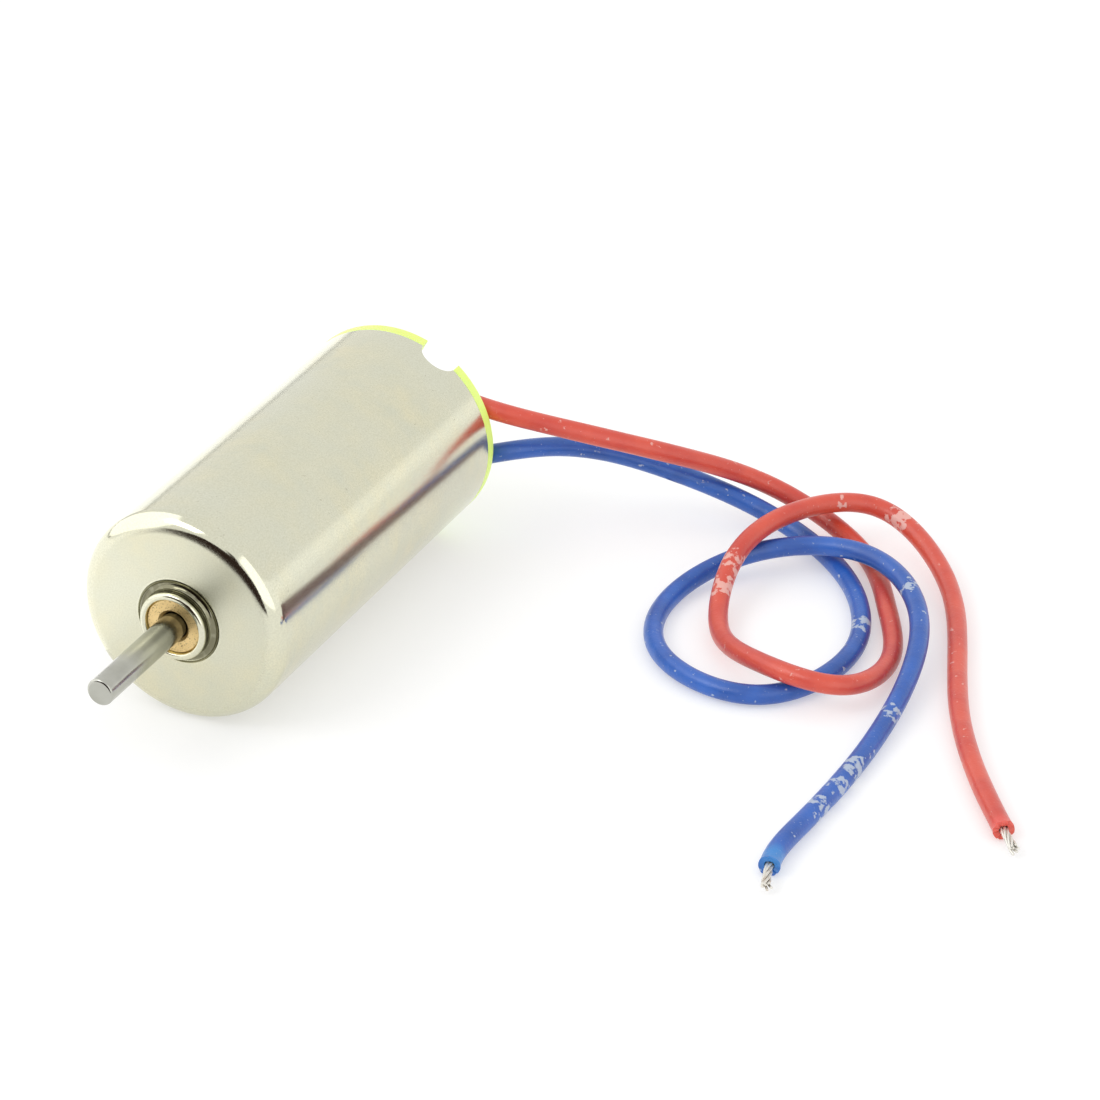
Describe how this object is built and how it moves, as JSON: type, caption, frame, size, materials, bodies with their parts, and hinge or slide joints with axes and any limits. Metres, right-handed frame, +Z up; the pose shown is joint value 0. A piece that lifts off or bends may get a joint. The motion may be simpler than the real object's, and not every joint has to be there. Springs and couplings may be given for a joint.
{
  "type": "coreless dc motor",
  "caption": "Small cylindrical coreless DC motor in a plated steel can, with a plain shaft, a front boss, a plastic end cap and two looped flying leads.",
  "frame": {"origin": "on the shaft axis, on the flat front face of the can", "axes": "the shaft leaves towards -Y, the end cap is towards +Y, +Z is up, and the leads trail towards +X"},
  "size_m": [0.0333, 0.028, 0.008],
  "materials": {
    "nickel_plated_steel": "satin-bright nickel plate",
    "shaft_steel": "ground stainless steel",
    "tube_steel": "turned and plated",
    "sintered_bronze": "oiled sintered bronze",
    "magnet": "nickel-coated neodymium",
    "copper_winding": "enamelled copper wire in epoxy",
    "epoxy": "cured amber epoxy",
    "hub_plastic": "moulded glass-filled plastic",
    "washer_plastic": "low-friction plastic",
    "contact_gold": "gold-alloy contact metal",
    "terminal_tin": "tinned brass",
    "solder": "bright solder",
    "cap_plastic": "fluorescent yellow-green moulding",
    "red_pvc": "soft PVC sleeve",
    "blue_pvc": "soft PVC sleeve",
    "tinned_copper": "tinned stranded copper"
  },
  "bodies": {
    "motor_body": {"housing_can": "nickel_plated_steel", "bearing_tube": "tube_steel", "front_bush": "sintered_bronze", "rear_bush": "sintered_bronze", "ring_magnet": "magnet", "end_cap": "cap_plastic", "thrust_pad": "washer_plastic", "terminal_positive": "terminal_tin", "terminal_negative": "terminal_tin", "brush_positive": "contact_gold", "brush_negative": "contact_gold", "solder_positive": "solder", "solder_negative": "solder", "red_conductor": "tinned_copper", "blue_conductor": "tinned_copper", "red_insulation": "red_pvc", "blue_insulation": "blue_pvc"},
    "rotor": {"shaft": "shaft_steel", "thrust_washer": "washer_plastic", "rotor_hub": "hub_plastic", "winding_cup": "copper_winding", "winding_bond": "epoxy", "commutator_segments": "contact_gold", "winding_taps": "copper_winding", "tap_solder": "solder"}
  },
  "joints": [
    {"name": "rotor_spin", "type": "hinge", "parent": "motor_body", "child": "rotor", "pos_m": [0, 0, 0], "axis": [0, -1, 0], "continuous": true}
  ]
}
